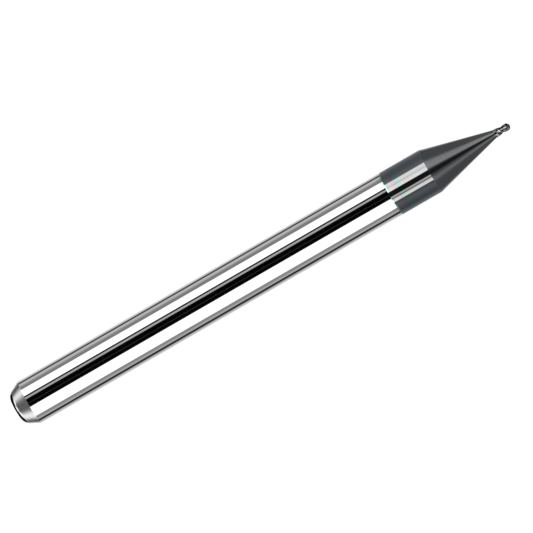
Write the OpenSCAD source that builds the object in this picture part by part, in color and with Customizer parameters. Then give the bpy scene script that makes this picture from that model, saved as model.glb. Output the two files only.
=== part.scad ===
// Ball-nose end mill with two helical flutes on a straight shank.
// A carbide head is brazed into a socket in the shank, both are ground to one outline, and the
// front of the tool carries a thin hard coating.
// The tool lies along X on the plane Z = 0, with its ball tip at +X. The origin is halfway along
// it, below its axis.

/* [Shank] */
// Diameter of the shank
shank_d = 3.175; // [2.6:0.005:6.4]
// Overall length, from the rear face to the tip of the ball
overall_l = 38.1; // [31:0.1:76]
// Length of the rear chamfer along the axis
chamfer_l = 1.05; // [0.5:0.05:1.2]
// Angle between the rear chamfer and the axis
chamfer_angle = 27; // [20:1:40]
// Radius that blends the rear chamfer into the rear face
chamfer_blend = 0.6; // [0.1:0.05:0.7]

/* [Cutter] */
// Diameter of the cutter and of its ball nose
cutter_d = 0.508; // [0.4:0.001:0.8]
// Length of the cutter, from the tip of the ball to the cone
cutter_l = 1.17; // [1:0.01:1.6]
// Helix angle of the flutes
helix_angle = 30; // [20:1:40]
// Diameter of the core between the flutes
core_d = 0.35; // [0.25:0.005:0.4]
// Angle round the axis that each tooth's land covers
land_angle = 62; // [45:1:80]
// Drop of a land's heel below the cutting edge
land_relief = 0.03; // [0.01:0.005:0.05]
// Length over which the flutes run out towards the cone
runout_l = 0.55; // [0.2:0.05:0.6]
// Turn of the flutes about the axis
flute_clock = 133; // [0:1:180]
// Growth of the cutter's radius over the run-out, towards the cone
neck_flare = 0.03; // [0:0.005:0.05]

/* [Cone] */
// Angle between the cone's side and the axis
cone_angle = 14.7; // [10:0.1:20]
// Radial step from the cutter up to the cone's small end
neck_step = 0.005; // [0.005:0.001:0.03]

/* [Brazed joint] */
// Diameter of the head's rod, which sits in the shank's socket
rod_d = 1.588; // [1.2:0.001:2.2]
// Depth of the rod in the socket
rod_depth = 6.4; // [4:0.1:9]
// Chamfer on the rod's inner end
rod_chamfer = 0.15; // [0.05:0.05:0.3]
// Thickness of the braze round the rod and behind it
braze_t = 0.03; // [0.02:0.005:0.06]
// Point angle of the drill that made the socket
drill_point_angle = 118; // [90:1:140]

/* [Coating] */
// Length of the coated band on the shank, behind the cone
coated_band_l = 3.4; // [1:0.02:8]
// Thickness of the coating's solid, which is let into the ground outline
coating_t = 0.02; // [0.015:0.005:0.03]

/* [Hidden] */

// Facets of the round surfaces
$fn = 96;

shank_r = shank_d / 2;
cutter_r = cutter_d / 2;
rod_r = rod_d / 2;
socket_r = rod_r + braze_t;

// Lengths along the axis are measured from the rear face.
neck_r = cutter_r + neck_flare + neck_step;
neck_z = overall_l - cutter_l;
ball_z = overall_l - cutter_r;
// Depth that the cutter's rear end reaches into the cone
cutter_root = 0.08;
rod_end_z = cone_z(socket_r, coating_t) - rod_depth;
socket_end_z = rod_end_z - braze_t;
socket_tip_z = socket_end_z - socket_r / tan(drill_point_angle / 2);

// The coating lies between these two places, and everything under it is thinner by its thickness.
coating_rear_z = cone_z(shank_r) - coated_band_l;
coating_front_z = neck_z - cutter_root;
coated_r = shank_r - coating_t;

// The chamfer meets the rear face in a corner, which the blend cuts off on both sides.
corner_r = shank_r - chamfer_l * tan(chamfer_angle);
corner_cut = chamfer_blend * tan((90 - chamfer_angle) / 2);
rear_face_r = corner_r - corner_cut;
BLEND_STEPS = 6;

// Flutes: two teeth, with their sections turned by the helix
TEETH = 2;
LAND_STEPS = 6;
GULLET_STEPS = 11;
SHAFT_RINGS = 22;
BALL_RINGS = 10;
flute_lead = PI * cutter_d / tan(helix_angle);
core_ratio = core_d / cutter_d;
heel_ratio = 1 - land_relief / cutter_r;
gullet_angle = 360 / TEETH - land_angle;

// Radius of the cone at z, on its surface or at a depth below it
function cone_r(z, depth = 0) =
    neck_r + (neck_z - z) * tan(cone_angle) - depth / cos(cone_angle);

// Place along the axis where the cone, or a surface at a depth below it, has the radius r
function cone_z(r, depth = 0) =
    neck_z - (r + depth / cos(cone_angle) - neck_r) / tan(cone_angle);

// Points of the arc between the rear face and the chamfer
function blend_arc() = [
    for (i = [0 : BLEND_STEPS])
        let (turn = (90 - chamfer_angle) * i / BLEND_STEPS)
        [rear_face_r + chamfer_blend * sin(turn), chamfer_blend * (1 - cos(turn))]
];

// Cutter's radius at z: it flares towards the cone over the run-out, and ends in a ball
function cutter_radius(z) =
    z <= ball_z
    ? cutter_r + neck_flare * (1 - flute_depth(z))
    : sqrt(max(0, pow(cutter_r, 2) - pow(z - ball_z, 2)));

// Share of their full depth that the flutes have at z
function flute_depth(z) =
    let (run = min(1, max(0, (z - neck_z) / runout_l)))
    run * run * (3 - 2 * run);

// One tooth's outline as [angle, share of the cutter's radius], from its heel over its land to
// the cutting edge, down the rake face, and along the gullet to the next tooth's heel
function tooth_outline() = concat(
    [
        for (i = [0 : LAND_STEPS])
            let (back = 1 - i / LAND_STEPS)
            [-land_angle * back, 1 - (1 - heel_ratio) * back]
    ],
    [
        for (i = [0 : GULLET_STEPS - 1])
            let (along = i / GULLET_STEPS, rise = pow(along, 1.7))
            [
                gullet_angle * (0.02 + 0.98 * along),
                core_ratio + (heel_ratio - core_ratio) * (rise + 0.16 * pow(1 - along, 8))
            ]
    ]
);

// Ring of points round the cutter at z
function cutter_ring(z) = [
    for (tooth = [0 : TEETH - 1], point = tooth_outline())
        let (
            turn = point[0] + flute_clock + 360 * tooth / TEETH + 360 * (z - overall_l) / flute_lead,
            share = 1 - flute_depth(z) * (1 - point[1]),
            r = cutter_radius(z) * share
        )
        [r * cos(turn), r * sin(turn), z]
];

// Places of the rings: evenly spaced along the cylinder, then evenly round the ball
ring_places = concat(
    [neck_z - cutter_root],
    [for (i = [0 : SHAFT_RINGS - 1]) neck_z + (ball_z - neck_z) * i / SHAFT_RINGS],
    [for (i = [0 : BALL_RINGS - 1]) ball_z + cutter_r * sin(90 * i / BALL_RINGS)]
);

// Puts a piece that is drawn up the Z axis, from its rear end, in its place along X.
module along_tool() {
    translate([-overall_l / 2, 0, shank_r])
        rotate([0, 90, 0])
            children();
}

// The fluted cylinder and ball, as rings of points joined by triangles
module fluted_cutter() {
    ring_size = len(cutter_ring(ball_z));
    last = len(ring_places) - 1;
    points = concat(
        [for (z = ring_places) each cutter_ring(z)],
        [[0, 0, overall_l]]
    );
    tip = len(points) - 1;
    sides = [
        for (ring = [0 : last - 1], i = [0 : ring_size - 1])
            let (
                next = (i + 1) % ring_size,
                a = ring * ring_size + i,
                b = ring * ring_size + next,
                c = a + ring_size,
                d = b + ring_size
            )
            each [[a, c, d], [a, d, b]]
    ];
    root = [[for (i = [0 : ring_size - 1]) i]];
    nose = [
        for (i = [0 : ring_size - 1])
            [last * ring_size + i, tip, last * ring_size + (i + 1) % ring_size]
    ];
    polyhedron(points, concat(root, sides, nose), convexity = 6);
}

// Plain rod with the rear chamfer, half of the cone, and the socket for the head
module shank() {
    color("gainsboro")
        along_tool()
            rotate_extrude()
                polygon(concat(
                    [[0, 0]],
                    blend_arc(),
                    [
                        [shank_r, chamfer_l],
                        [shank_r, coating_rear_z],
                        [coated_r, coating_rear_z],
                        [coated_r, cone_z(coated_r, coating_t)],
                        [socket_r, cone_z(socket_r, coating_t)],
                        [socket_r, socket_end_z],
                        [0, socket_tip_z]
                    ]
                ));
}

// Carbide rod, the cone's front half and the fluted cutter, in one piece
module cutting_head() {
    color("dimgray")
        along_tool() {
            rotate_extrude()
                polygon([
                    [0, rod_end_z],
                    [rod_r - rod_chamfer, rod_end_z],
                    [rod_r, rod_end_z + rod_chamfer],
                    [rod_r, cone_z(rod_r, coating_t)],
                    [cone_r(coating_front_z, coating_t), coating_front_z],
                    [cone_r(coating_front_z), coating_front_z],
                    [neck_r, neck_z],
                    [0, neck_z]
                ]);
            fluted_cutter();
        }
}

// Braze between the rod and the socket, ground flush with the cone
module braze_film() {
    color("khaki")
        along_tool()
            rotate_extrude()
                polygon([
                    [0, socket_tip_z],
                    [socket_r, socket_end_z],
                    [socket_r, cone_z(socket_r, coating_t)],
                    [rod_r, cone_z(rod_r, coating_t)],
                    [rod_r, rod_end_z + rod_chamfer],
                    [rod_r - rod_chamfer, rod_end_z],
                    [0, rod_end_z]
                ]);
}

// Coating on the front of the shank and on the cone, up to the flutes
module hard_coating() {
    color("darkslategray")
        along_tool()
            rotate_extrude()
                polygon([
                    [coated_r, coating_rear_z],
                    [shank_r, coating_rear_z],
                    [shank_r, cone_z(shank_r)],
                    [cone_r(coating_front_z), coating_front_z],
                    [cone_r(coating_front_z, coating_t), coating_front_z],
                    [coated_r, cone_z(coated_r, coating_t)]
                ]);
}

shank();
cutting_head();
braze_film();
hard_coating();
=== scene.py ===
"""Ball-nose micro end mill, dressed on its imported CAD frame.

The tool lies along X on the floor with its ball tip at +X. Each piece is turned or ground here as
its maker would do it, in millimetres, and is then shrunk to metres in its place in the frame:

* the steel shank with its chamfered rear end and the blind socket for the head,
* the carbide head with its rod, its part of the cone and the two-flute ball cutter,
* the braze film between the two,
* the hard coating over the front of the shank and the cone.
"""

import logging
import math
from dataclasses import dataclass, field
from enum import Enum
from typing import Callable, Sequence

import bpy
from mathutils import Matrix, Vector


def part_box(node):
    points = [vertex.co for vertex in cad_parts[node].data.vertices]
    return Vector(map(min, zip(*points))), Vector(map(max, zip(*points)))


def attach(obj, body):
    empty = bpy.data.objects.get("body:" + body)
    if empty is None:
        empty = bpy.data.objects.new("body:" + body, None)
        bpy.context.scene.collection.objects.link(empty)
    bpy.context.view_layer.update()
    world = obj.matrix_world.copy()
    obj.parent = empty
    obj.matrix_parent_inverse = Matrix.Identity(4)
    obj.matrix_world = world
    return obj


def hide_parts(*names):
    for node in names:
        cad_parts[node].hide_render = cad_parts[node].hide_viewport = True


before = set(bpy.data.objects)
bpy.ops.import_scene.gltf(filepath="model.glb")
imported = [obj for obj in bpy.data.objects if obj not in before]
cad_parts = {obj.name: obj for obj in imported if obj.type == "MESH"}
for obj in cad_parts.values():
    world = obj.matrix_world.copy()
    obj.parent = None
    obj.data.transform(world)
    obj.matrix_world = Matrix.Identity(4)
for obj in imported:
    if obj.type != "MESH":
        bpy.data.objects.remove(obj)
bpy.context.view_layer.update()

LOG = logging.getLogger("end_mill")
MM = 0.001  # one millimetre, in the frame's metres
Colour = tuple[float, float, float]
Outline = list[tuple[float, float]]  # places along X and radii, in order


class Quality(Enum):
    """How many facets a turned piece has round the axis."""

    FINE = 256
    PLAIN = 128


# ------------------------------------------------------------------------------------------------
# Shader sheets: nodes and the arithmetic between them
# ------------------------------------------------------------------------------------------------


class Signal:
    """A number that varies over a surface. Arithmetic on it adds Math nodes to its sheet."""

    def __init__(self, sheet: "Sheet", socket: bpy.types.NodeSocket) -> None:
        """Wraps an output socket.

        Args:
            sheet: The sheet that new nodes are added to.
            socket: The output socket that carries the number.
        """
        self.sheet = sheet
        self.socket = socket

    def _math(self, operation: str, *values: "Signal | float") -> "Signal":
        """Adds one Math node.

        Args:
            operation: The Math node's operation.
            values: Its inputs, in order.

        Returns:
            The node's result.
        """
        node = self.sheet.node("ShaderNodeMath", {"operation": operation}, dict(enumerate(values)))
        return Signal(self.sheet, node.outputs[0])

    def __add__(self, other: "Signal | float") -> "Signal":
        """This plus other."""
        return self._math("ADD", self, other)

    __radd__ = __add__

    def __sub__(self, other: "Signal | float") -> "Signal":
        """This minus other."""
        return self._math("SUBTRACT", self, other)

    def __rsub__(self, other: float) -> "Signal":
        """Other minus this."""
        return self._math("SUBTRACT", other, self)

    def __mul__(self, other: "Signal | float") -> "Signal":
        """This times other."""
        return self._math("MULTIPLY", self, other)

    __rmul__ = __mul__

    def __truediv__(self, other: "Signal | float") -> "Signal":
        """This divided by other."""
        return self._math("DIVIDE", self, other)

    def turn_from(self, other: "Signal") -> "Signal":
        """The angle whose tangent is this over other, in radians."""
        return self._math("ARCTAN2", self, other)

    def step(self, low: float, high: float) -> "Signal":
        """A smooth step.

        Args:
            low: Where the step is still 0.
            high: Where it has reached 1. It may be below low, and the step then falls.

        Returns:
            The step, from 0 to 1.
        """
        node = self.sheet.node(
            "ShaderNodeMapRange",
            {"interpolation_type": "SMOOTHSTEP"},
            {"Value": self, "From Min": low, "From Max": high},
        )
        return Signal(self.sheet, node.outputs["Result"])


@dataclass(frozen=True)
class Stop:
    """One stop of a colour ramp: its place from 0 to 1, and its colour."""

    place: float
    colour: Colour


class Sheet:
    """A node tree being drawn: a material's or the world's."""

    def __init__(self, tree: bpy.types.NodeTree) -> None:
        """Empties the tree.

        Args:
            tree: The node tree to draw in.
        """
        self.tree = tree
        tree.nodes.clear()

    def node(self, kind: str, settings: dict | None = None, inputs: dict | None = None) -> bpy.types.Node:
        """Adds a node.

        Args:
            kind: The node's type.
            settings: Its own settings, which are set first. "stops" fills a colour ramp.
            inputs: Values, signals or sockets for its inputs, by name or number.

        Returns:
            The new node.
        """
        node = self.tree.nodes.new(kind)
        for name, value in (settings or {}).items():
            if name == "stops":
                self._fill_ramp(node.color_ramp, value)
            else:
                setattr(node, name, value)
        for name, value in (inputs or {}).items():
            socket = node.inputs[name]
            if isinstance(value, Signal):
                self.tree.links.new(value.socket, socket)
            elif isinstance(value, bpy.types.NodeSocket):
                self.tree.links.new(value, socket)
            else:
                socket.default_value = value
        return node

    @staticmethod
    def _fill_ramp(ramp: bpy.types.ColorRamp, stops: Sequence[Stop]) -> None:
        """Gives a ramp its stops.

        Args:
            ramp: The ramp, with its two first stops.
            stops: The stops, in order.
        """
        while len(ramp.elements) < len(stops):
            ramp.elements.new(1.0)
        for element, stop in zip(ramp.elements, stops):
            element.position = stop.place
            element.color = (*stop.colour, 1.0)

    def _coordinates(self, kind: str) -> tuple[Signal, Signal, Signal]:
        """Splits one kind of texture coordinates.

        Args:
            kind: The coordinates' name.

        Returns:
            Their X, Y and Z.
        """
        coordinates = self.node("ShaderNodeTexCoord")
        split = self.node("ShaderNodeSeparateXYZ", inputs={0: coordinates.outputs[kind]})
        x, y, z = (Signal(self, output) for output in split.outputs)
        return x, y, z

    def place(self) -> tuple[Signal, Signal, Signal]:
        """The shaded point's Object coordinates, in metres."""
        return self._coordinates("Object")

    def direction(self) -> tuple[Signal, Signal, Signal]:
        """The direction that a ray takes into the world."""
        return self._coordinates("Generated")

    def noise(self, stretch: Sequence[float], detail: float = 2.0) -> Signal:
        """Cloudy noise from 0 to 1.

        Args:
            stretch: How many clouds fit in a metre along X, Y and Z.
            detail: How many finer layers it has.

        Returns:
            The noise.
        """
        coordinates = self.node("ShaderNodeTexCoord")
        mapped = self.node(
            "ShaderNodeMapping", inputs={"Vector": coordinates.outputs["Object"], "Scale": tuple(stretch)}
        )
        cloud = self.node(
            "ShaderNodeTexNoise", inputs={"Vector": mapped.outputs[0], "Scale": 1.0, "Detail": detail}
        )
        return Signal(self, cloud.outputs[0])

    def ramp(self, factor: Signal, stops: Sequence[Stop]) -> bpy.types.NodeSocket:
        """A colour that depends on a number.

        Args:
            factor: The number, from 0 to 1.
            stops: The ramp's stops.

        Returns:
            The colour.
        """
        return self.node("ShaderNodeValToRGB", {"stops": stops}, {0: factor}).outputs["Color"]

    def blend(self, factor: Signal, a: object, b: object, how: str = "MIX") -> bpy.types.NodeSocket:
        """Mixes two colours.

        Args:
            factor: How much of b, from 0 to 1.
            a: The first colour or its socket.
            b: The second colour or its socket.
            how: The blend type.

        Returns:
            The mixed colour.
        """
        node = self.node(
            "ShaderNodeMix", {"data_type": "RGBA", "blend_type": how}, {0: factor, 6: a, 7: b}
        )
        return node.outputs[2]

    def bump(self, height: Signal, depth: float) -> bpy.types.NodeSocket:
        """A bumped normal.

        Args:
            height: The height, from 0 to 1.
            depth: What a height of 1 is, in metres.

        Returns:
            The normal.
        """
        return self.node("ShaderNodeBump", inputs={"Distance": depth, "Height": height}).outputs[0]


# ------------------------------------------------------------------------------------------------
# Finishes
# ------------------------------------------------------------------------------------------------


def rgba(colour: Colour) -> tuple[float, float, float, float]:
    """The colour with full alpha."""
    return (*colour, 1.0)


@dataclass(frozen=True)
class Finish:
    """What every finish shares: a name and the way it is put on a Principled shader."""

    name: str

    def material(self) -> bpy.types.Material:
        """Makes the material.

        Returns:
            The new material.
        """
        made = bpy.data.materials.new(self.name)
        made.use_nodes = True
        sheet = Sheet(made.node_tree)
        shader = sheet.node("ShaderNodeBsdfPrincipled", inputs=self.surface(sheet))
        sheet.node("ShaderNodeOutputMaterial", inputs={"Surface": shader.outputs[0]})
        return made

    def surface(self, sheet: Sheet) -> dict:
        """What feeds the Principled shader; each finish has its own."""
        raise NotImplementedError


@dataclass(frozen=True)
class PolishedSteel(Finish):
    """Centreless-ground and polished steel, with a satin-ground chamfer and rear face."""

    face: float = 0.0  # X of the rear face
    satin_from: float = 0.0  # X where the satin chamfer begins, in front of the rounded rear edge
    satin_to: float = 0.0  # X where it ends
    colour: Colour = (0.90, 0.90, 0.905)
    satin_colour: Colour = (0.80, 0.80, 0.81)
    gloss: float = 0.028
    smear: float = 0.02  # what a smear of oil adds to the roughness
    smear_from: float = 0.45
    smear_to: float = 0.8
    smears_along: float = 0.35 / MM
    smears_across: float = 1.4 / MM
    satin: float = 0.26
    satin_unevenness: float = 0.1
    satin_fade: float = 0.1 * MM  # length over which the satin sets in at the rounded edge
    satin_end: float = 0.01 * MM  # half the length over which it ends at the shank
    face_skin: float = 0.001 * MM  # how far from the rear face its satin still counts
    ring_pitch: float = 0.020 * MM
    rings_round: float = 0.3 / MM
    ring_depth: float = 0.00012 * MM
    satin_depth: float = 0.0016 * MM

    def surface(self, sheet: Sheet) -> dict:
        """Fine rings run round the shank, and coarser ones round its chamfer and rear face.

        Args:
            sheet: The material's sheet.

        Returns:
            The Principled shader's inputs.
        """
        x, _, _ = sheet.place()
        chamfer = x.step(self.satin_to + self.satin_end, self.satin_to - self.satin_end) * (
            x.step(self.satin_from - self.satin_fade, self.satin_from)
        )
        satin = chamfer + x.step(self.face + 2 * self.face_skin, self.face + self.face_skin)
        rings = sheet.noise((1 / self.ring_pitch, self.rings_round, self.rings_round), detail=3.0)
        smears = sheet.noise((self.smears_along, self.smears_across, self.smears_across))
        smeared = self.smear * smears.step(self.smear_from, self.smear_to)
        extra = self.satin - self.gloss + self.satin_unevenness * rings
        height = rings * (1 + satin * (self.satin_depth / self.ring_depth - 1))
        return {
            "Base Color": sheet.blend(satin, rgba(self.colour), rgba(self.satin_colour)),
            "Metallic": 1.0,
            "Roughness": self.gloss + smeared + satin * extra,
            "Normal": sheet.bump(height, self.ring_depth),
        }


@dataclass(frozen=True)
class HardCoating(Finish):
    """Dark slate film: mirror-like on the shank, satin on the cone, with an iridescent rear edge."""

    rear_edge: float = 0.0  # X where the film begins to show
    cone_edge: float = 0.0  # X where the cone begins
    cutter_edge: float = 0.0  # X where the cutter begins
    slate: Colour = (0.215, 0.222, 0.228)
    cone_slate: Colour = (0.200, 0.206, 0.212)
    cone_light: Colour = (0.245, 0.250, 0.256)
    cutter_blue: Colour = (0.110, 0.121, 0.142)
    cutter_grey: Colour = (0.262, 0.266, 0.250)
    # painted highlight: a lighter colour along the shoulder, standing in for the glint of its rounded edge
    shoulder_glint_colour: Colour = (0.24, 0.235, 0.255)
    shade: Colour = (0.10, 0.11, 0.12)
    edge_tint: Colour = (1.0, 1.0, 1.0)
    gloss: float = 0.045
    satin: float = 0.13
    satin_unevenness: float = 0.08
    edge_width: float = 1.8 * MM
    raggedness: float = 0.30 * MM  # how far the film's rear edge strays
    rags_along: float = 0.25 / MM
    rags_across: float = 0.9 / MM
    # half the width of the painted highlight line at the shoulder
    shoulder_glint_width: float = 0.035 * MM
    blur: float = 0.01 * MM  # half the width of the change at the cone's edge
    lightening: float = 2.5 * MM  # place on the cone where it starts to get lighter
    shading: float = 0.16  # strength of the cloudy shade
    clouds_along: float = 0.8 / MM
    clouds_across: float = 2.2 / MM
    spots: float = 3.2 / MM
    spot_from: float = 0.36
    spot_to: float = 0.62
    ring_pitch: float = 0.018 * MM
    rings_round: float = 0.5 / MM
    ring_depth: float = 0.0005 * MM
    band_depth: float = 0.08  # share of the rings' depth on the coated band
    cutter_smoothing: float = 0.9  # share of it that the cutter loses

    def film(self) -> list[Stop]:
        """The film's interference colours.

        Returns:
            The colours from its thin rear edge to its full thickness.
        """
        return [
            Stop(0.00, (0.90, 0.90, 0.905)),
            Stop(0.05, (0.62, 0.69, 0.71)),
            Stop(0.10, (0.16, 0.25, 0.27)),
            Stop(0.15, (0.175, 0.255, 0.235)),
            Stop(0.22, (0.255, 0.240, 0.215)),
            Stop(0.31, (0.265, 0.205, 0.235)),
            Stop(0.41, (0.215, 0.207, 0.240)),
            Stop(0.49, (0.170, 0.232, 0.232)),
            Stop(0.58, (0.172, 0.240, 0.226)),
            Stop(0.70, (0.205, 0.232, 0.222)),
            Stop(0.84, (0.228, 0.215, 0.225)),
            Stop(1.00, self.slate),
        ]

    def surface(self, sheet: Sheet) -> dict:
        """Interference colours follow the distance from the film's ragged rear edge.

        Args:
            sheet: The material's sheet.

        Returns:
            The Principled shader's inputs.
        """
        x, _, _ = sheet.place()
        rags = sheet.noise((self.rags_along, self.rags_across, self.rags_across), detail=3.0)
        ragged = (rags - 0.5) * self.raggedness
        film = sheet.ramp((x + ragged - self.rear_edge) / self.edge_width, self.film())
        cone = x.step(self.cone_edge - self.blur, self.cone_edge + self.blur)
        # Painted highlight: a thin lighter band round the cone's edge, for the rounded shoulder's glint.
        shoulder_glint = x.step(self.cone_edge - self.shoulder_glint_width, self.cone_edge - self.shoulder_glint_width / 2) * (
            x.step(self.cone_edge + self.shoulder_glint_width, self.cone_edge)
        )
        towards_tip = x.step(self.cone_edge + self.lightening, self.cutter_edge)
        cutter = x.step(self.cutter_edge - 2 * self.blur, self.cutter_edge + 2 * self.blur)
        rings = sheet.noise((1 / self.ring_pitch, self.rings_round, self.rings_round), detail=3.0)
        clouds = sheet.noise((self.clouds_along, self.clouds_across, self.clouds_across), detail=3.0)
        spots = sheet.noise((self.spots, self.spots, self.spots)).step(self.spot_from, self.spot_to)
        ground = sheet.blend(towards_tip, rgba(self.cone_slate), rgba(self.cone_light))
        colour = sheet.blend(cone, film, ground)
        colour = sheet.blend(clouds * self.shading, colour, rgba(self.shade))
        # Lays the painted shoulder highlight over the colour.
        colour = sheet.blend(shoulder_glint, colour, rgba(self.shoulder_glint_colour))
        facets = sheet.blend(spots, rgba(self.cutter_blue), rgba(self.cutter_grey))
        extra = self.satin - self.gloss + self.satin_unevenness * rings
        ground_depth = (1 - self.band_depth) * cone * (1 - cutter * self.cutter_smoothing)
        return {
            "Base Color": sheet.blend(cutter, colour, facets),
            "Metallic": 1.0,
            "Roughness": self.gloss + cone * (1 - cutter) * extra,
            "Specular Tint": rgba(self.edge_tint),
            "Normal": sheet.bump(rings * (self.band_depth + ground_depth), self.ring_depth),
        }


@dataclass(frozen=True)
class BrazeAlloy(Finish):
    """Silver-bearing braze, with a cast, slightly uneven surface."""

    colour: Colour = (0.80, 0.68, 0.42)
    dull_colour: Colour = (0.62, 0.50, 0.30)
    patches: float = 3 / MM
    dullness: float = 0.5
    smoothest: float = 0.3
    unevenness: float = 0.25
    depth: float = 0.004 * MM

    def surface(self, sheet: Sheet) -> dict:
        """Patchy, dull and warm.

        Args:
            sheet: The material's sheet.

        Returns:
            The Principled shader's inputs.
        """
        patches = sheet.noise((self.patches, self.patches, self.patches), detail=4.0)
        return {
            "Base Color": sheet.blend(patches * self.dullness, rgba(self.colour), rgba(self.dull_colour)),
            "Metallic": 1.0,
            "Roughness": self.smoothest + self.unevenness * patches,
            "Normal": sheet.bump(patches, self.depth),
        }


# ------------------------------------------------------------------------------------------------
# Workshop: turning and grinding in millimetres
# ------------------------------------------------------------------------------------------------


def deselect() -> None:
    """Leaves edit mode and deselects every object."""
    if bpy.context.mode != "OBJECT":
        bpy.ops.object.mode_set(mode="OBJECT")
    bpy.ops.object.select_all(action="DESELECT")


def pick(piece: bpy.types.Object) -> None:
    """Selects one object and makes it active.

    Args:
        piece: The object.
    """
    deselect()
    piece.select_set(True)
    bpy.context.view_layer.objects.active = piece


SAME = 1e-9  # two radii whose ratio differs less from 1 are the same
WELD = 1e-5  # points closer than this are one, in millimetres


@dataclass
class Lathe:
    """Turns a round piece about the X axis, in millimetres, one cut after another."""

    name: str
    sides: int = Quality.FINE.value
    x: float = 0.0
    radius: float = 0.0

    def chuck(self, x: float, radius: float) -> None:
        """Starts with a closed disc.

        Args:
            x: The disc's place.
            radius: Its radius.
        """
        deselect()
        bpy.ops.mesh.primitive_circle_add(
            vertices=self.sides,
            radius=radius,
            fill_type="TRIFAN",
            location=(x, 0, 0),
            rotation=(0, math.pi / 2, 0),
        )
        bpy.context.object.name = self.name
        bpy.ops.object.transform_apply(location=True, rotation=True, scale=True)
        bpy.ops.object.mode_set(mode="EDIT")
        bpy.ops.mesh.select_all(action="SELECT")
        bpy.ops.mesh.region_to_loop()
        self.x, self.radius = x, radius

    def cut(self, x: float, radius: float) -> None:
        """Carries the open rim on to the next place and radius.

        Args:
            x: The place of the new rim.
            radius: Its radius.
        """
        bpy.ops.mesh.extrude_region_move(TRANSFORM_OT_translate={"value": (x - self.x, 0, 0)})
        share = radius / self.radius
        if abs(share - 1) > SAME:
            bpy.ops.transform.resize(value=(1, share, share), center_override=(x, 0, 0))
        self.x, self.radius = x, radius

    def follow(self, outline: Outline) -> None:
        """Makes one cut after another.

        Args:
            outline: The places and radii, in order.
        """
        for x, radius in outline:
            self.cut(x, radius)

    def close(self, x: float) -> None:
        """Ends the piece in a point on the axis.

        Args:
            x: The point's place.
        """
        bpy.ops.mesh.extrude_region_move(TRANSFORM_OT_translate={"value": (x - self.x, 0, 0)})
        bpy.ops.mesh.merge(type="CENTER")
        self._face_outwards()

    def join_ends(self) -> None:
        """Ends a ring-shaped piece where it began."""
        bpy.ops.mesh.select_all(action="SELECT")
        bpy.ops.mesh.remove_doubles(threshold=WELD)
        self._face_outwards()

    @staticmethod
    def _face_outwards() -> None:
        """Points every face outwards and leaves edit mode."""
        bpy.ops.mesh.select_all(action="SELECT")
        bpy.ops.mesh.normals_make_consistent(inside=False)
        bpy.ops.object.mode_set(mode="OBJECT")


def ship(piece: bpy.types.Object, axis_height: float, smooth: float = 35.0) -> bpy.types.Object:
    """Smooths a finished piece and takes it from the workshop's millimetres to the frame.

    Args:
        piece: The piece, with the tool's axis on the X axis.
        axis_height: Height of the tool's axis above the floor, in metres.
        smooth: Edges bent less than this many degrees are shaded smooth.

    Returns:
        The same piece, with its object at the origin.
    """
    pick(piece)
    bpy.ops.object.shade_smooth_by_angle(angle=math.radians(smooth))
    piece.scale = (MM, MM, MM)
    piece.location = (0, 0, axis_height)
    bpy.ops.object.transform_apply(location=True, rotation=True, scale=True)
    return piece


def dress(piece: bpy.types.Object, finish: Finish) -> None:
    """Gives a piece its only material.

    Args:
        piece: The piece.
        finish: Its finish.
    """
    piece.data.materials.clear()
    piece.data.materials.append(finish.material())


# ------------------------------------------------------------------------------------------------
# The tool's sizes, taken from the frame
# ------------------------------------------------------------------------------------------------


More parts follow.
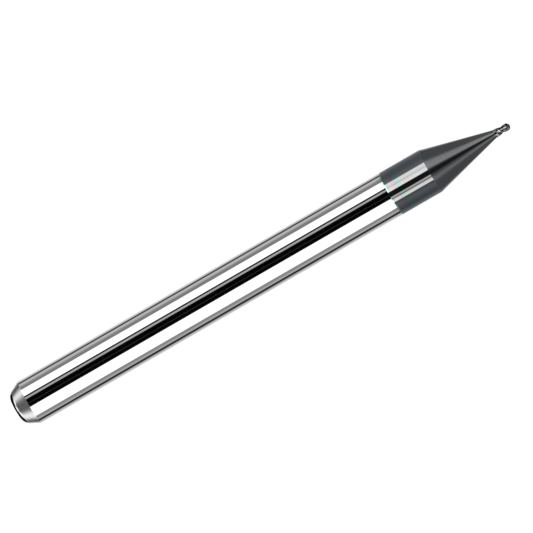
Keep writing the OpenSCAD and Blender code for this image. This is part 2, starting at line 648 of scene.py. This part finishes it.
@dataclass(frozen=True)
class ToolSizes:
    """Places along X and radii of the whole tool, in millimetres, and its few free sizes."""

    rear: float
    tip: float
    shank_r: float
    coating_rear: float
    coating_front: float
    rod_r: float
    rod_end: float
    socket_r: float
    socket_tip: float
    cone_angle: float = math.radians(14.7)
    coating_t: float = 0.02
    cutter_r: float = 0.254
    cutter_l: float = 1.17
    neck_step: float = 0.005
    neck_flare: float = 0.03
    runout_l: float = 0.55
    chamfer_l: float = 1.05
    chamfer_angle: float = math.radians(27)
    chamfer_blend: float = 0.6
    rod_chamfer: float = 0.15
    drill_half_angle: float = math.radians(59)
    edge_radius: float = 0.03
    film_band_l: float = 3.14  # length of the band that looks coated, behind the cone

    @classmethod
    def from_frame(cls) -> "ToolSizes":
        """Reads the sizes off the CAD nodes' boxes.

        Returns:
            The tool's sizes.
        """
        shank_low, shank_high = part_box("shank")
        head_low, head_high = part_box("cutting_head")
        braze_low, braze_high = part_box("braze_film")
        coat_low, coat_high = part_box("hard_coating")
        return cls(
            rear=shank_low.x / MM,
            tip=head_high.x / MM,
            shank_r=(shank_high.z - shank_low.z) / 2 / MM,
            coating_rear=coat_low.x / MM,
            coating_front=coat_high.x / MM,
            rod_r=(head_high.z - head_low.z) / 2 / MM,
            rod_end=head_low.x / MM,
            socket_r=(braze_high.z - braze_low.z) / 2 / MM,
            socket_tip=braze_low.x / MM,
        )

    @property
    def axis_height(self) -> float:
        """Height of the tool's axis above the floor, in metres."""
        return self.shank_r * MM

    @property
    def neck(self) -> float:
        """Place of the cone's small end."""
        return self.tip - self.cutter_l

    @property
    def neck_r(self) -> float:
        """Radius of the cone's small end."""
        return self.cutter_r + self.neck_flare + self.neck_step

    @property
    def ball(self) -> float:
        """Place of the ball's centre."""
        return self.tip - self.cutter_r

    @property
    def film_edge(self) -> float:
        """Place where the coating becomes visible on the shank."""
        return self.cone_place(self.shank_r) - self.film_band_l

    @property
    def socket_end(self) -> float:
        """Place where the socket's wall meets its drill point."""
        return self.socket_tip + self.socket_r / math.tan(self.drill_half_angle)

    def flared_radius(self, run: float) -> float:
        """Radius of the cutter at a share of its run-out, from the cone forwards."""
        return self.cutter_r + self.neck_flare * (1 - run * run * (3 - 2 * run))

    def cone_radius(self, x: float, depth: float = 0.0) -> float:
        """Radius of the cone at x, at a depth below its surface."""
        sunk = depth / math.cos(self.cone_angle)
        return self.neck_r + (self.neck - x) * math.tan(self.cone_angle) - sunk

    def cone_place(self, radius: float, depth: float = 0.0) -> float:
        """Place where the cone, at a depth below its surface, has that radius."""
        sunk = depth / math.cos(self.cone_angle)
        return self.neck - (radius + sunk - self.neck_r) / math.tan(self.cone_angle)


def arc(centre: tuple[float, float], radius: float, start: float, end: float, steps: int) -> Outline:
    """Points of an arc in the plane of x and radius.

    Args:
        centre: Its centre.
        radius: Its radius.
        start: Its first angle from the x axis, in degrees.
        end: Its last angle.
        steps: The number of steps between them.

    Returns:
        The points, both ends among them.
    """
    angles = (math.radians(start + (end - start) * i / steps) for i in range(steps + 1))
    return [(centre[0] + radius * math.cos(a), centre[1] + radius * math.sin(a)) for a in angles]


GUARD = 0.6  # distance from a rounding to the close cut beside it, in roundings' radii


def shoulder(
    corner: tuple[float, float], before: float, after: float, radius: float, steps: int = 4
) -> Outline:
    """A rounded outer corner between two straight cuts, with a close cut on either side.

    Args:
        corner: The sharp corner's place and radius.
        before: Slope of the cut before it, in radians above the axis.
        after: Slope of the cut after it.
        radius: The rounding's radius.
        steps: The rounding's steps.

    Returns:
        The points in order.
    """
    reach = radius * math.tan((before - after) / 2)
    start = (corner[0] - reach * math.cos(before), corner[1] - reach * math.sin(before))
    centre = (start[0] + radius * math.sin(before), start[1] - radius * math.cos(before))
    first, last = math.degrees(before) + 90, math.degrees(after) + 90
    bend = arc(centre, radius, first, last, steps)
    guard = radius * GUARD
    lead_in = (bend[0][0] - guard * math.cos(before), bend[0][1] - guard * math.sin(before))
    lead_out = (bend[-1][0] + guard * math.cos(after), bend[-1][1] + guard * math.sin(after))
    return [lead_in, *bend, lead_out]


# ------------------------------------------------------------------------------------------------
# Sub-assemblies
# ------------------------------------------------------------------------------------------------


@dataclass
class Shank:
    """The straight steel shank, with its rear chamfer and the socket for the head."""

    sizes: ToolSizes
    blend_steps: int = 12
    plain_cuts: int = 6
    close_cut: float = 0.03  # distance of the close cuts that keep a flat's shading flat
    face_share: float = 0.8  # radius of the first cut on the rear face, as a share of the face's
    smooth: float = 20.0

    def rear_end(self) -> Outline:
        """The rounding of the rear face, the chamfer and its edge.

        Returns:
            The outline from the rear face to the start of the plain shank.
        """
        s = self.sizes
        corner_r = s.shank_r - s.chamfer_l * math.tan(s.chamfer_angle)
        reach = s.chamfer_blend * math.tan((math.pi / 2 - s.chamfer_angle) / 2)
        centre = (s.rear + s.chamfer_blend, corner_r - reach)
        blend = arc(centre, s.chamfer_blend, 180, 90 + math.degrees(s.chamfer_angle), self.blend_steps)
        edge = shoulder((s.rear + s.chamfer_l, s.shank_r), s.chamfer_angle, 0.0, s.edge_radius)
        guard = (
            blend[-1][0] + self.close_cut * math.cos(s.chamfer_angle),
            blend[-1][1] + self.close_cut * math.sin(s.chamfer_angle),
        )
        return [*blend, guard, *edge]

    def finish(self) -> PolishedSteel:
        """The shank's finish, with its satin parts in their places.

        Returns:
            The finish.
        """
        s = self.sizes
        return PolishedSteel(
            "polished_steel",
            face=s.rear * MM,
            satin_from=(s.rear + s.chamfer_blend * (1 - math.sin(s.chamfer_angle))) * MM,
            satin_to=(s.rear + s.chamfer_l) * MM,
        )

    def make(self) -> bpy.types.Object:
        """Turns the shank and drills its socket.

        Returns:
            The finished piece.
        """
        s = self.sizes
        outline = self.rear_end()
        lathe = Lathe("shank_rod")
        lathe.chuck(s.rear, outline[0][1] * self.face_share)
        lathe.follow(outline)
        start, end = outline[-1][0], s.coating_rear
        pitch = (end - start) / self.plain_cuts
        lathe.follow([(start + pitch * i, s.shank_r) for i in range(1, self.plain_cuts)])
        lathe.follow([(end - self.close_cut, s.shank_r), (end, s.shank_r)])
        under = s.shank_r - s.coating_t
        lathe.follow([(end, under), (s.cone_place(under, s.coating_t), under)])
        lathe.cut(s.cone_place(s.socket_r, s.coating_t), s.socket_r)
        lathe.cut(s.socket_end, s.socket_r)
        lathe.close(s.socket_tip)
        piece = ship(bpy.context.object, s.axis_height, self.smooth)
        dress(piece, self.finish())
        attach(piece, "root")
        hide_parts("shank")
        return piece


@dataclass
class Wheel:
    """A grinding wheel's path along one flute, swept as a solid that is then taken away."""

    radius: float
    reach: float  # distance from the axis to the wheel section's near side
    turn: float  # angle of the section about the axis, beyond the cutting edge, in degrees
    stretch: float = 1.0  # how much a round section is widened, around the axis
    corners: int = 56

    def sweep(self, s: ToolSizes, flutes: "Flutes", flip: float) -> bpy.types.Object:
        """Sweeps the wheel's section from behind the cone's end to the tip.

        Args:
            s: The tool's sizes.
            flutes: The flutes' helix and run-out.
            flip: Angle of this flute about the axis, in degrees.

        Returns:
            The swept solid.
        """
        places = flutes.places(s)
        start = places[0]
        wheel = self._section(start)
        turn = flutes.edge_angle(s, start) + self.turn + flip
        self._rotate(turn, start)
        lift = flutes.lift(s, start)
        self._shift(lift, turn)
        share = 1.0
        for here, there in zip(places, places[1:]):
            bpy.ops.mesh.extrude_region_move(TRANSFORM_OT_translate={"value": (there - here, 0, 0)})
            self._shift(-lift, turn)
            step = flutes.edge_angle(s, there) - flutes.edge_angle(s, here)
            self._rotate(step, there)
            turn += step
            ratio = flutes.share(s, there) / share
            bpy.ops.transform.resize(value=(1, ratio, ratio), center_override=(there, 0, 0))
            share = flutes.share(s, there)
            lift = flutes.lift(s, there)
            self._shift(lift, turn)
        bpy.ops.mesh.select_all(action="SELECT")
        bpy.ops.mesh.quads_convert_to_tris(quad_method="FIXED")
        bpy.ops.mesh.normals_make_consistent(inside=False)
        bpy.ops.object.mode_set(mode="OBJECT")
        return wheel

    def _section(self, x: float) -> bpy.types.Object:
        """Makes the wheel's first section: a circle, widened around the axis.

        Args:
            x: Its place.

        Returns:
            The section, in edit mode and selected.
        """
        middle = (x, self.reach + self.radius, 0)
        deselect()
        bpy.ops.mesh.primitive_circle_add(
            vertices=self.corners,
            radius=self.radius,
            fill_type="NGON",
            location=middle,
            rotation=(0, math.pi / 2, 0),
        )
        wheel = bpy.context.object
        bpy.ops.object.transform_apply(location=True, rotation=True, scale=True)
        bpy.ops.object.mode_set(mode="EDIT")
        bpy.ops.mesh.select_mode(type="VERT")
        bpy.ops.mesh.select_all(action="SELECT")
        bpy.ops.transform.resize(value=(1, 1, self.stretch), center_override=middle)
        return wheel

    @staticmethod
    def _rotate(degrees: float, x: float) -> None:
        """Turns the selection about the tool's axis, right-handed about +X.

        Args:
            degrees: The angle.
            x: The selection's place along the axis.
        """
        bpy.ops.transform.rotate(
            value=-math.radians(degrees), orient_axis="X", orient_type="GLOBAL", center_override=(x, 0, 0)
        )

    @staticmethod
    def _shift(out: float, turn: float) -> None:
        """Moves the selection away from the tool's axis.

        Args:
            out: How far.
            turn: In which direction about the axis, in degrees.
        """
        if out:
            a = math.radians(turn)
            bpy.ops.transform.translate(value=(0, out * math.cos(a), out * math.sin(a)))


@dataclass(frozen=True)
class Flutes:
    """The cutter's two flutes: their helix, their clocking and how they run out."""

    helix: float = math.radians(30)
    clock: float = 0.0  # angle of a cutting edge about the axis where the ball ends, in degrees
    clock_from_tip: float = 0.33
    runout: float = 0.42
    runout_from: float = 0.04  # distance from the neck to where the run-out begins
    runout_lift: float = 0.16
    overrun: float = 0.05  # how far behind the neck the sweep begins
    tip_overrun: float = 0.02  # how far past the tip it ends
    shaft_steps: int = 64
    ball_steps: int = 24
    least_share: float = 0.06

    def edge_angle(self, s: ToolSizes, x: float) -> float:
        """Angle of the cutting edge about the axis at x, in degrees."""
        lead = 2 * math.pi * s.cutter_r / math.tan(self.helix)
        return self.clock + 360 * (x - (s.tip - self.clock_from_tip)) / lead

    def lift(self, s: ToolSizes, x: float) -> float:
        """How far the wheel has left the flute at x."""
        run = min(1.0, max(0.0, (x - s.neck - self.runout_from) / self.runout))
        return self.runout_lift * (1 - run) ** 2

    def share(self, s: ToolSizes, x: float) -> float:
        """The ball's radius at x as a share of the cutter's."""
        past = max(0.0, (x - s.ball) / s.cutter_r)
        return max(self.least_share, math.sqrt(max(0.0, 1 - past**2)))

    def places(self, s: ToolSizes) -> list[float]:
        """Places of the sweep's sections along the axis.

        Args:
            s: The tool's sizes.

        Returns:
            The places, from behind the cone's end to past the tip.
        """
        start = s.neck - self.overrun
        shaft = [start + (s.ball - start) * i / self.shaft_steps for i in range(self.shaft_steps)]
        turns = (math.pi / 2 * i / self.ball_steps for i in range(self.ball_steps + 1))
        ball = [s.ball + s.cutter_r * math.sin(turn) for turn in turns]
        return [*shaft, *ball, s.tip + self.tip_overrun]


@dataclass
class CuttingHead:
    """The carbide head: its rod in the shank, its part of the cone, and the fluted ball cutter."""

    sizes: ToolSizes
    flutes: Flutes = field(default_factory=Flutes)
    ball_steps: int = 32
    flare_steps: int = 12
    fillet: float = 0.01  # last stretch of the cone, which leads into the neck
    neck_edge: float = 0.002  # length of the small step down to the cutter
    smooth: float = 24.0
    edge_tint: Colour = (0.3, 0.3, 0.3)
    burr: float = 0.002  # slivers smaller than this are taken off after grinding
    gullet: Wheel = field(default_factory=lambda: Wheel(radius=0.16, reach=0.175, turn=34.0, stretch=1.9))
    relief: Wheel = field(default_factory=lambda: Wheel(radius=0.62, reach=0.236, turn=-38.0, corners=128))

    def blank(self) -> bpy.types.Object:
        """Turns the head before its flutes are ground.

        Returns:
            The blank, in millimetres.
        """
        s = self.sizes
        lathe = Lathe("cutting_head_carbide", Quality.FINE.value)
        lathe.chuck(s.rod_end, s.rod_r - s.rod_chamfer)
        lathe.follow([(s.rod_end + s.rod_chamfer, s.rod_r), (s.cone_place(s.rod_r, s.coating_t), s.rod_r)])
        front = s.coating_front
        lathe.follow([(front, s.cone_radius(front, s.coating_t)), (front, s.cone_radius(front))])
        lathe.follow([(s.neck - self.fillet, s.cone_radius(s.neck - self.fillet)), (s.neck, s.neck_r)])
        lathe.cut(s.neck + self.neck_edge, s.flared_radius(0.0))
        runs = (i / self.flare_steps for i in range(1, self.flare_steps + 1))
        lathe.follow([(s.neck + s.runout_l * run, s.flared_radius(run)) for run in runs])
        ball = arc((s.ball, 0.0), s.cutter_r, 90, 0, self.ball_steps)
        lathe.follow(ball[:-1])
        lathe.close(s.tip)
        return bpy.context.object

    def grind(self, blank: bpy.types.Object) -> None:
        """Takes the flutes and the lands' relief out of the blank.

        Args:
            blank: The turned blank.
        """
        for wheel in (self.gullet, self.relief):
            for flip in (0.0, 180.0):
                cutter = wheel.sweep(self.sizes, self.flutes, flip)
                pick(blank)
                cut = blank.modifiers.new("grind", "BOOLEAN")
                cut.operation = "DIFFERENCE"
                cut.solver = "EXACT"
                cut.object = cutter
                bpy.ops.object.modifier_apply(modifier=cut.name)
                bpy.data.objects.remove(cutter)
        bpy.ops.object.mode_set(mode="EDIT")
        bpy.ops.mesh.select_all(action="SELECT")
        bpy.ops.mesh.remove_doubles(threshold=self.burr)
        bpy.ops.mesh.dissolve_degenerate(threshold=self.burr / 2)
        bpy.ops.object.mode_set(mode="OBJECT")

    def make(self) -> bpy.types.Object:
        """Turns and grinds the head.

        Returns:
            The finished piece.
        """
        s = self.sizes
        piece = self.blank()
        self.grind(piece)
        ship(piece, s.axis_height, self.smooth)
        dress(piece, coating_finish(s, "coated_carbide", self.edge_tint))
        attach(piece, "root")
        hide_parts("cutting_head")
        return piece


@dataclass
class BrazeFilm:
    """The thin cup of braze between the head's rod and the shank's socket."""

    sizes: ToolSizes

    def make(self) -> bpy.types.Object:
        """Turns the film.

        Returns:
            The finished piece.
        """
        s = self.sizes
        lathe = Lathe("braze_cup", Quality.PLAIN.value)
        lathe.chuck(s.rod_end, s.rod_r - s.rod_chamfer)
        lathe.follow(
            [
                (s.rod_end + s.rod_chamfer, s.rod_r),
                (s.cone_place(s.rod_r, s.coating_t), s.rod_r),
                (s.cone_place(s.socket_r, s.coating_t), s.socket_r),
                (s.socket_end, s.socket_r),
            ]
        )
        lathe.close(s.socket_tip)
        piece = ship(bpy.context.object, s.axis_height)
        dress(piece, BrazeAlloy("silver_braze"))
        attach(piece, "root")
        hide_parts("braze_film")
        return piece


@dataclass
class CoatingSkin:
    """The hard coating over the front of the shank and over the cone."""

    sizes: ToolSizes
    rear_cut: float = 0.03  # distance from the rear edge to the first close cut
    front_cut: float = 0.05  # distance from the last close cut to the front edge
    shoulder_r: float = 0.12  # rounding where the shank's band meets the cone
    shoulder_steps: int = 5
    smooth: float = 20.0

    def make(self) -> bpy.types.Object:
        """Turns the skin as a thin closed shell.

        Returns:
            The finished piece.
        """
        s = self.sizes
        under = s.shank_r - s.coating_t
        lathe = Lathe("coating_skin")
        inner_corner = s.cone_place(under, s.coating_t)
        outer_corner = (s.cone_place(s.shank_r), s.shank_r)
        front = s.coating_front
        lathe.chuck(s.coating_rear, under)
        self._open_disc()
        lathe.follow([(s.coating_rear, s.shank_r), (s.coating_rear + self.rear_cut, s.shank_r)])
        lathe.follow(shoulder(outer_corner, 0.0, -s.cone_angle, self.shoulder_r, self.shoulder_steps))
        last = front - self.front_cut
        lathe.follow([(last, s.cone_radius(last)), (front, s.cone_radius(front))])
        lathe.cut(front, s.cone_radius(front, s.coating_t))
        lathe.follow([(inner_corner, under), (s.coating_rear, under)])
        lathe.join_ends()
        piece = ship(bpy.context.object, s.axis_height, self.smooth)
        dress(piece, coating_finish(s, "dark_coating"))
        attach(piece, "root")
        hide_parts("hard_coating")
        return piece

    @staticmethod
    def _open_disc() -> None:
        """Takes the first disc's face away and keeps its rim selected."""
        bpy.ops.mesh.select_all(action="SELECT")
        bpy.ops.mesh.delete(type="ONLY_FACE")
        bpy.ops.mesh.select_all(action="DESELECT")
        bpy.ops.object.mode_set(mode="OBJECT")
        mesh = bpy.context.object.data
        centre = min(mesh.vertices, key=lambda v: v.co.yz.length)
        centre.select = True
        bpy.ops.object.mode_set(mode="EDIT")
        bpy.ops.mesh.delete(type="VERT")
        bpy.ops.mesh.select_all(action="SELECT")


def coating_finish(s: ToolSizes, name: str, edge_tint: Colour = (1.0, 1.0, 1.0)) -> HardCoating:
    """The coating's finish with its edges where the tool has them.

    Args:
        s: The tool's sizes.
        name: The material's name.
        edge_tint: Tint of its mirror image at grazing angles.

    Returns:
        The finish.
    """
    return HardCoating(
        name,
        edge_tint=edge_tint,
        rear_edge=s.film_edge * MM,
        cone_edge=s.cone_place(s.shank_r) * MM,
        cutter_edge=s.neck * MM,
    )


# ------------------------------------------------------------------------------------------------
# Studio
# ------------------------------------------------------------------------------------------------


COOL: Colour = (0.93, 1.0, 1.08)  # slightly blue card
WARM: Colour = (1.03, 1.0, 0.955)  # slightly yellow softbox


def turn_about_tool(y: Signal, z: Signal) -> Signal:
    """Turn of (y, z) about the tool: 0.5 straight above, less on its left, more on its right."""
    return (0 - y).turn_from(z) / (2 * math.pi) + 0.5


@dataclass(frozen=True)
class Card:
    """A card or softbox beside the tool: where it starts and ends, and how bright each end is."""

    start: float
    end: float
    first: float
    last: float
    hue: Colour = (1.0, 1.0, 1.0)


@dataclass(frozen=True)
class Row:
    """Cards side by side round the tool's axis, from its left side over the top to its right side."""

    cards: tuple[Card, ...]
    seam: float = 0.0001  # half the width of the change between its two ramps, straight above

    def stops(self, cards: Sequence[Card], place: Callable[[float], float]) -> list[Stop]:
        """The ramp stops of some of the cards.

        Args:
            cards: The cards, in order.
            place: Turns a card's own measure into a place on the ramp.

        Returns:
            Two stops for each card.
        """
        return [
            Stop(place(at), tuple(level * part for part in card.hue))
            for card in cards
            for at, level in ((card.start, card.first), (card.end, card.last))
        ]

    def shine(self, sheet: Sheet, turn: Signal, measure: Callable[[float], float]) -> bpy.types.NodeSocket:
        """Draws the row as a colour that depends on the turn about the axis.

        Args:
            sheet: The sheet to draw on.
            turn: The turn, 0.5 straight above the tool, falling to its left and rising to its right.
            measure: Turns a card's own measure into such a turn.

        Returns:
            The colour.
        """
        left = [card for card in self.cards if card.start < 0]
        right = [card for card in self.cards if card.end > 0]
        over_left = sheet.ramp(turn * 2, self.stops(left, lambda at: 2 * measure(at)))
        over_right = sheet.ramp(turn * 2 - 1, self.stops(right, lambda at: 2 * measure(at) - 1))
        side = turn.step(0.5 - self.seam, 0.5 + self.seam)
        return sheet.blend(side, over_left, over_right)


@dataclass
class Studio:
    """White floor, soft white light, and the cards that a bright round tool mirrors."""

    sizes: ToolSizes
    floor_size: float = 4.0  # in metres
    floor_glow: float = 0.98
    floor_white: float = 0.06  # what the floor returns of the light that falls on it
    band_ring_r: float = 2.2
    band_ring_lead: float = 0.05  # how far in front of the film's visible edge its ring begins
    cutter_ring_r: float = 0.7
    ring_lap: float = 0.25  # how far a ring's ends lie in front of what it serves
    ring_sides: int = 96
    cone_side: tuple[float, float] = (0.02, 0.20)  # X of directions where the cone's cards set in
    front_side: tuple[float, float] = (0.52, 0.60)  # and the front's
    rear_side: tuple[float, float] = (-0.28, -0.45)  # and the rear's
    rear_end: tuple[float, float] = (-0.972, -0.982)  # and the plain white behind the tool
    shank_cards: Row = Row(
        (
            Card(-1.0, -0.945, 0.90, 0.60),
            Card(-0.900, -0.878, 0.01, 0.01),
            Card(-0.845, -0.80, 0.52, 0.52),
            Card(-0.72, -0.630, 0.22, 0.22),
            Card(-0.590, -0.345, 1.5, 1.5),
            Card(-0.320, -0.275, 0.004, 0.004),
            Card(-0.245, -0.195, 0.42, 0.42),
            Card(-0.170, -0.001, 0.001, 0.001),
            Card(0.0, 0.005, 0.001, 0.001),
            Card(0.012, 0.024, 0.03, 0.03),
            Card(0.035, 0.180, 0.001, 0.001),
            Card(0.205, 0.610, 1.5, 1.5),
            Card(0.645, 0.700, 0.27, 0.25),
            Card(0.745, 0.785, 0.34, 0.48),
            Card(0.830, 0.868, 0.002, 0.002),
            Card(0.925, 1.0, 0.50, 0.90),
        )
    )
    coating_cards: Row = Row(
        (
            Card(-1.0, -0.95, 0.5, 0.45, COOL),
            Card(-0.90, -0.80, 0.38, 0.30, COOL),
            Card(-0.70, -0.64, 0.29, 0.32, COOL),
            Card(-0.53, -0.465, 0.47, 0.44, COOL),
            Card(-0.425, -0.30, 3.3, 2.9, WARM),
            Card(-0.277, -0.27, 2.0, 2.0, WARM),
            Card(-0.25, -0.103, 3.1, 3.5, WARM),
            Card(-0.085, -0.001, 0.03, 0.03, COOL),
            Card(0.0, 0.115, 0.03, 0.03, COOL),
            Card(0.145, 0.190, 1.7, 1.7, WARM),
            Card(0.220, 0.230, 0.20, 0.20, COOL),
            Card(0.265, 0.370, 2.7, 3.3, WARM),
            Card(0.395, 0.45, 0.27, 0.29, COOL),
            Card(0.50, 0.60, 0.39, 0.37, COOL),
            Card(0.70, 0.80, 0.26, 0.21, COOL),
            Card(0.90, 1.0, 0.38, 0.50, COOL),
        )
    )
    cone_cards: Row = Row(
        (
            Card(-180, -150, 0.14, 0.14),
            Card(-120, -66, 0.27, 0.27),
            Card(-50, -20, 0.88, 1.02),
            Card(-10, -1, 0.015, 0.015),
            Card(1, 13, 0.015, 0.02),
            Card(28, 34, 0.32, 0.42),
            Card(40, 50, 0.62, 0.60),
            Card(62, 120, 0.25, 0.25),
            Card(150, 180, 0.14, 0.14),
        )
    )
    rear_cards: Row = Row(
        (
            Card(-180, -152, 0.0, 0.0),
            Card(-140, -112, 0.0, 0.02),
            Card(-95, -76, 1.25, 1.25),
            Card(-52, -1, 0.05, 0.05),
            Card(1, 54, 0.05, 0.05),
            Card(72, 102, 1.25, 1.25),
            Card(118, 140, 0.02, 0.0),
            Card(152, 180, 0.0, 0.0),
        )
    )
    cutter_cards: Row = Row(
        (
            Card(-180, -125, 0.10, 0.05, COOL),
            Card(-110, -80, 0.35, 0.45, COOL),
            Card(-68, -34, 0.03, 0.03, COOL),
            Card(-24, -5, 3.0, 3.0, WARM),
            Card(-1, -0.5, 1.2, 1.0),
            Card(0.5, 34, 0.8, 0.04),
            Card(50, 56, 0.4, 1.4, COOL),
            Card(64, 74, 2.2, 2.2),
            Card(88, 104, 0.25, 0.25),
            Card(118, 180, 0.04, 0.08, COOL),
        )
    )
    front_cards: Row = Row(
        (
            Card(-180, -70, 0.05, 0.05, COOL),
            Card(-45, -25, 1.6, 1.6),
            Card(-12, -1, 0.02, 0.02),
            Card(1, 30, 0.02, 0.02),
            Card(45, 75, 1.2, 1.2),
            Card(95, 180, 0.05, 0.05, COOL),
        )
    )

    def floor(self) -> None:
        """Lays the plain white floor."""
        deselect()
        bpy.ops.mesh.primitive_plane_add(size=self.floor_size)
        floor = bpy.context.object
        floor.name = "floor"
        floor.visible_glossy = False
        paint = bpy.data.materials.new("white_floor")
        paint.use_nodes = True
        sheet = Sheet(paint.node_tree)
        grey = (self.floor_white, self.floor_white, self.floor_white)
        glow = sheet.node("ShaderNodeEmission", inputs={"Strength": self.floor_glow})
        white = sheet.node("ShaderNodeBsdfDiffuse", inputs={"Color": rgba(grey)})
        both = sheet.node("ShaderNodeAddShader", inputs={0: glow.outputs[0], 1: white.outputs[0]})
        sheet.node("ShaderNodeOutputMaterial", inputs={"Surface": both.outputs[0]})
        floor.data.materials.append(paint)

    def _band_turn(self, share: float) -> float:
        """Turn at which the coated band mirrors its ring.

        Args:
            share: A share of the band's half width, negative on its left.

        Returns:
            The turn about the tool.
        """
        lean = math.asin(share)
        turn = 2 * lean - math.asin(share * self.sizes.shank_r / self.band_ring_r)
        return 0.5 + turn / (2 * math.pi)

    @staticmethod
    def _far_turn(share: float) -> float:
        """Turn at which the shank mirrors far cards, at a share of its half width."""
        return 0.5 + math.asin(share) / math.pi

    @staticmethod
    def _plain_turn(degrees: float) -> float:
        """Turn of an angle from straight above, in degrees."""
        return 0.5 + degrees / 360

    def ring(
        self,
        name: str,
        rear: float,
        front: float,
        radius: float,
        row: Row,
        measure: Callable[[float], float],
    ) -> None:
        """Puts a short ring of cards round part of the tool; it shows in mirrors only.

        Args:
            name: The ring's name.
            rear: Place of its rear end.
            front: Place of its front end.
            radius: Its radius.
            row: The cards.
            measure: Turns a card's own measure into a turn about the axis.
        """
        s = self.sizes
        deselect()
        bpy.ops.mesh.primitive_cylinder_add(
            vertices=self.ring_sides,
            radius=radius * MM,
            depth=(front - rear) * MM,
            end_fill_type="NOTHING",
            rotation=(0, math.pi / 2, 0),
            location=((front + rear) / 2 * MM, 0, s.axis_height),
        )
        cards = bpy.context.object
        cards.name = name
        bpy.ops.object.transform_apply(location=True, rotation=True, scale=True)
        paint = bpy.data.materials.new(name)
        paint.use_nodes = True
        sheet = Sheet(paint.node_tree)
        _, y, z = sheet.place()
        turn = turn_about_tool(y, z - s.axis_height)
        glow = sheet.node("ShaderNodeEmission", inputs={"Color": row.shine(sheet, turn, measure)})
        sheet.node("ShaderNodeOutputMaterial", inputs={"Surface": glow.outputs[0]})
        cards.data.materials.append(paint)
        cards.visible_camera = False
        cards.visible_diffuse = False
        cards.visible_shadow = False
        cards.visible_transmission = False

    def rings(self) -> None:
        """Puts one ring of cards round the coated band and one round the cutter."""
        s = self.sizes
        self.ring(
            "band_cards",
            s.film_edge + self.band_ring_lead,
            s.cone_place(s.shank_r) + self.ring_lap,
            self.band_ring_r,
            self.coating_cards,
            self._band_turn,
        )
        self.ring(
            "cutter_cards",
            s.neck + self.ring_lap,
            s.tip + self.ring_lap,
            self.cutter_ring_r,
            self.cutter_cards,
            self._plain_turn,
        )

    def light(self) -> None:
        """Makes the light: plain white, with softboxes and dark flags where metal mirrors it."""
        world = bpy.data.worlds.new("studio")
        bpy.context.scene.world = world
        world.use_nodes = True
        sheet = Sheet(world.node_tree)
        x, y, z = sheet.direction()
        turn = turn_about_tool(y, z)
        white = rgba((1.0, 1.0, 1.0))
        cone = self.cone_cards.shine(sheet, turn, self._plain_turn)
        rear = self.rear_cards.shine(sheet, turn, self._plain_turn)
        front = self.front_cards.shine(sheet, turn, self._plain_turn)
        mirrored = self.shank_cards.shine(sheet, turn, self._far_turn)
        for side, cards in (
            (self.cone_side, cone),
            (self.front_side, front),
            (self.rear_side, rear),
            (self.rear_end, white),
        ):
            mirrored = sheet.blend(x.step(*side), mirrored, cards)
        rays = sheet.node("ShaderNodeLightPath")
        glossy = Signal(sheet, rays.outputs["Is Glossy Ray"])
        colour = sheet.blend(glossy, white, mirrored)
        back = sheet.node("ShaderNodeBackground", inputs={"Color": colour})
        sheet.node("ShaderNodeOutputWorld", inputs={"Surface": back.outputs[0]})

    def build(self) -> None:
        """Sets up the floor, the cards and the light."""
        self.floor()
        self.rings()
        self.light()


@dataclass
class Viewpoint:
    """The camera: over the tool, leaning a little towards its tip, with a very long lens."""

    axis_height: float  # height of the tool's axis, in metres
    lean: float = math.radians(5.0)
    roll: float = math.radians(29.97)
    lens: float = 1150.0
    sensor: float = 36.0
    frame_width: float = 35.52 * MM  # width of what it sees at the tool
    aim_x: float = 0.264 * MM
    aim_y: float = -0.058 * MM
    clip_start: float = 0.05
    clip_end: float = 20.0

    def build(self) -> None:
        """Hangs the camera and chooses plain colours."""
        aim = Vector((self.aim_x, self.aim_y, self.axis_height))
        towards = Vector((math.sin(self.lean), 0.0, math.cos(self.lean)))
        along = Vector((math.cos(self.lean), 0.0, -math.sin(self.lean)))
        across = towards.cross(along)
        right = along * math.cos(self.roll) - across * math.sin(self.roll)
        up = along * math.sin(self.roll) + across * math.cos(self.roll)
        camera = bpy.data.objects.new("camera", bpy.data.cameras.new("camera"))
        bpy.context.scene.collection.objects.link(camera)
        camera.data.lens = self.lens
        camera.data.sensor_width = self.sensor
        camera.data.clip_start = self.clip_start
        camera.data.clip_end = self.clip_end
        turned = camera.matrix_world.to_3x3()
        turned.col[0], turned.col[1], turned.col[2] = right, up, towards
        camera.matrix_world = turned.to_4x4()
        camera.location = aim + towards * (self.frame_width * self.lens / self.sensor)
        bpy.context.scene.camera = camera
        bpy.context.scene.view_settings.view_transform = "Standard"


def main() -> None:
    """Builds the tool piece by piece, then the studio and the view."""
    logging.basicConfig(level=logging.INFO, format="%(name)s: %(message)s")
    sizes = ToolSizes.from_frame()
    for maker in (Shank(sizes), CuttingHead(sizes), BrazeFilm(sizes), CoatingSkin(sizes)):
        piece = maker.make()
        LOG.info("%s: %d faces", piece.name, len(piece.data.polygons))
    Studio(sizes).build()
    Viewpoint(sizes.axis_height).build()


if __name__ == "__main__":
    main()
